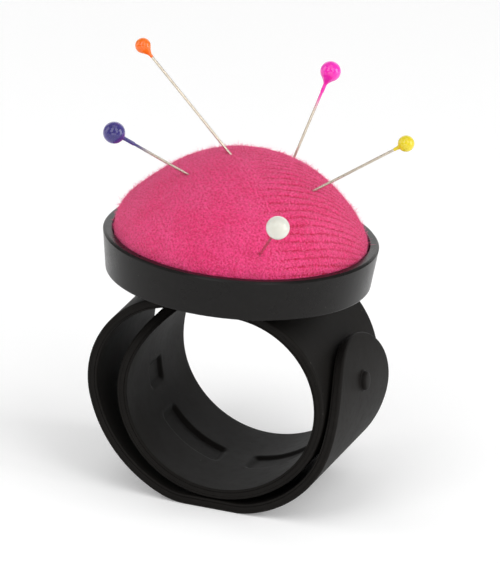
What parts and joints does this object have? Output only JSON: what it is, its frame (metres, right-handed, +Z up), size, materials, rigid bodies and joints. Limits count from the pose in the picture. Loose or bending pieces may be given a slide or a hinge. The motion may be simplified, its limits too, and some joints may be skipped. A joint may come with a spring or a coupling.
{
  "type": "wrist pin cushion",
  "caption": "Domed fabric pin cushion in a round plastic dish on a coiled snap band that wraps the wrist, with ball-headed pins stuck in the cushion.",
  "frame": {"origin": "middle of the dish axis on the flat foot of the band", "axes": "+Z up through the middle of the dish, Y along the axis of the wrist ring, +X towards the side where the outer arm's rounded tip ends"},
  "size_m": [0.0668, 0.0707, 0.0979],
  "materials": {
    "dish_plastic": "satin",
    "cushion_knit": "matte",
    "stuffing": "matte",
    "base_card": "matte",
    "sewing_thread": "matte",
    "foam": "matte",
    "band_cover": "satin",
    "spring_steel": "satin",
    "rivet_metal": "satin",
    "pin_steel": "polished",
    "head_orange": "gloss",
    "head_indigo": "gloss",
    "head_magenta": "gloss",
    "head_yellow": "gloss",
    "head_white": "gloss"
  },
  "bodies": {
    "holder": {"dish": "dish_plastic", "cushion_cover": "cushion_knit", "cushion_filling": "stuffing", "base_disc": "base_card", "gathering_thread": "sewing_thread", "adhesive_pad": "foam", "band_rivets": "rivet_metal", "saddle_cover": "band_cover", "saddle_strip": "spring_steel"},
    "inner_link_1": {"inner_cover_1": "band_cover", "inner_strip_1": "spring_steel"},
    "inner_link_2": {"inner_cover_2": "band_cover", "inner_strip_2": "spring_steel"},
    "inner_link_3": {"inner_cover_3": "band_cover", "inner_strip_3": "spring_steel"},
    "inner_link_4": {"inner_cover_4": "band_cover", "inner_strip_4": "spring_steel"},
    "inner_link_5": {"inner_cover_5": "band_cover", "inner_strip_5": "spring_steel"},
    "inner_link_6": {"inner_cover_6": "band_cover", "inner_strip_6": "spring_steel"},
    "inner_link_7": {"inner_cover_7": "band_cover", "inner_strip_7": "spring_steel"},
    "outer_link_1": {"outer_cover_1": "band_cover", "outer_strip_1": "spring_steel"},
    "outer_link_2": {"outer_cover_2": "band_cover", "outer_strip_2": "spring_steel"},
    "outer_link_3": {"outer_cover_3": "band_cover", "outer_strip_3": "spring_steel"},
    "outer_link_4": {"outer_cover_4": "band_cover", "outer_strip_4": "spring_steel"},
    "outer_link_5": {"outer_cover_5": "band_cover", "outer_strip_5": "spring_steel"},
    "outer_link_6": {"outer_cover_6": "band_cover", "outer_strip_6": "spring_steel", "tail_stud": "band_cover"},
    "pin_orange": {"pin_shaft_orange": "pin_steel", "pin_head_orange": "head_orange"},
    "pin_indigo": {"pin_shaft_indigo": "pin_steel", "pin_head_indigo": "head_indigo"},
    "pin_magenta": {"pin_shaft_magenta": "pin_steel", "pin_head_magenta": "head_magenta"},
    "pin_yellow": {"pin_shaft_yellow": "pin_steel", "pin_head_yellow": "head_yellow"},
    "pin_white": {"pin_shaft_white": "pin_steel", "pin_head_white": "head_white"}
  },
  "joints": [
    {"name": "outer_bend_2", "type": "hinge", "parent": "outer_link_1", "child": "outer_link_2", "pos_m": [-0.02194, 0, 0.03899], "axis": [0, 1, 0], "range_deg": [0, 68.5]},
    {"name": "inner_bend_1", "type": "hinge", "parent": "holder", "child": "inner_link_1", "pos_m": [0.0053, 0, 0.04641], "axis": [0, -1, 0], "range_deg": [0, 10]},
    {"name": "inner_bend_2", "type": "hinge", "parent": "inner_link_1", "child": "inner_link_2", "pos_m": [0.02107, 0, 0.04004], "axis": [0, -1, 0], "range_deg": [0, 57]},
    {"name": "inner_bend_3", "type": "hinge", "parent": "inner_link_2", "child": "inner_link_3", "pos_m": [0.0276, 0, 0.02464], "axis": [0, -1, 0], "range_deg": [0, 43]},
    {"name": "inner_bend_4", "type": "hinge", "parent": "inner_link_3", "child": "inner_link_4", "pos_m": [0.02271, 0, 0.01121], "axis": [0, -1, 0], "range_deg": [0, 46]},
    {"name": "inner_bend_5", "type": "hinge", "parent": "inner_link_4", "child": "inner_link_5", "pos_m": [0.00317, 0, 0.00251], "axis": [0, -1, 0], "range_deg": [0, 54]},
    {"name": "inner_bend_6", "type": "hinge", "parent": "inner_link_5", "child": "inner_link_6", "pos_m": [-0.0161, 0, 0.01363], "axis": [0, -1, 0], "range_deg": [0, 52.6]},
    {"name": "inner_bend_7", "type": "hinge", "parent": "inner_link_6", "child": "inner_link_7", "pos_m": [-0.01843, 0, 0.03155], "axis": [0, -1, 0], "range_deg": [0, 44.4]},
    {"name": "outer_bend_1", "type": "hinge", "parent": "holder", "child": "outer_link_1", "pos_m": [-0.0064, 0, 0.04641], "axis": [0, 1, 0], "range_deg": [0, 10]},
    {"name": "outer_bend_3", "type": "hinge", "parent": "outer_link_2", "child": "outer_link_3", "pos_m": [-0.02555, 0, 0.02126], "axis": [0, 1, 0], "range_deg": [0, 53]},
    {"name": "outer_bend_4", "type": "hinge", "parent": "outer_link_3", "child": "outer_link_4", "pos_m": [-0.00781, 0, 0.0012], "axis": [0, 1, 0], "range_deg": [0, 44]},
    {"name": "outer_bend_5", "type": "hinge", "parent": "outer_link_4", "child": "outer_link_5", "pos_m": [0.01274, 0, 0.00045], "axis": [0, 1, 0], "range_deg": [0, 48]},
    {"name": "outer_bend_6", "type": "hinge", "parent": "outer_link_5", "child": "outer_link_6", "pos_m": [0.02925, 0, 0.01611], "axis": [0, 1, 0], "range_deg": [0, 52.5]},
    {"name": "pull_orange", "type": "slide", "parent": "holder", "child": "pin_orange", "axis": [-0.6909, -0.0726, 0.7193], "range_m": [-0.002, 0.0088]},
    {"name": "pull_indigo", "type": "slide", "parent": "holder", "child": "pin_indigo", "axis": [-0.7722, -0.4106, 0.4848], "range_m": [-0.002, 0.0201]},
    {"name": "pull_magenta", "type": "slide", "parent": "holder", "child": "pin_magenta", "axis": [0.2408, 0.287, 0.9272], "range_m": [-0.002, 0.0177]},
    {"name": "pull_yellow", "type": "slide", "parent": "holder", "child": "pin_yellow", "axis": [0.8112, 0.114, 0.5736], "range_m": [-0.002, 0.016]},
    {"name": "pull_white", "type": "slide", "parent": "holder", "child": "pin_white", "axis": [0.374, -0.7277, 0.575], "range_m": [-0.002, 0.018]}
  ],
  "couplings": [
    {"joint": "inner_bend_1", "follows": "outer_bend_2", "ratio": 0.14598},
    {"joint": "inner_bend_2", "follows": "outer_bend_2", "ratio": 0.83211},
    {"joint": "inner_bend_3", "follows": "outer_bend_2", "ratio": 0.62773},
    {"joint": "inner_bend_4", "follows": "outer_bend_2", "ratio": 0.67153},
    {"joint": "inner_bend_5", "follows": "outer_bend_2", "ratio": 0.78832},
    {"joint": "inner_bend_6", "follows": "outer_bend_2", "ratio": 0.76788},
    {"joint": "inner_bend_7", "follows": "outer_bend_2", "ratio": 0.64817},
    {"joint": "outer_bend_1", "follows": "outer_bend_2", "ratio": 0.14598},
    {"joint": "outer_bend_3", "follows": "outer_bend_2", "ratio": 0.77372},
    {"joint": "outer_bend_4", "follows": "outer_bend_2", "ratio": 0.64233},
    {"joint": "outer_bend_5", "follows": "outer_bend_2", "ratio": 0.70072},
    {"joint": "outer_bend_6", "follows": "outer_bend_2", "ratio": 0.76642}
  ]
}
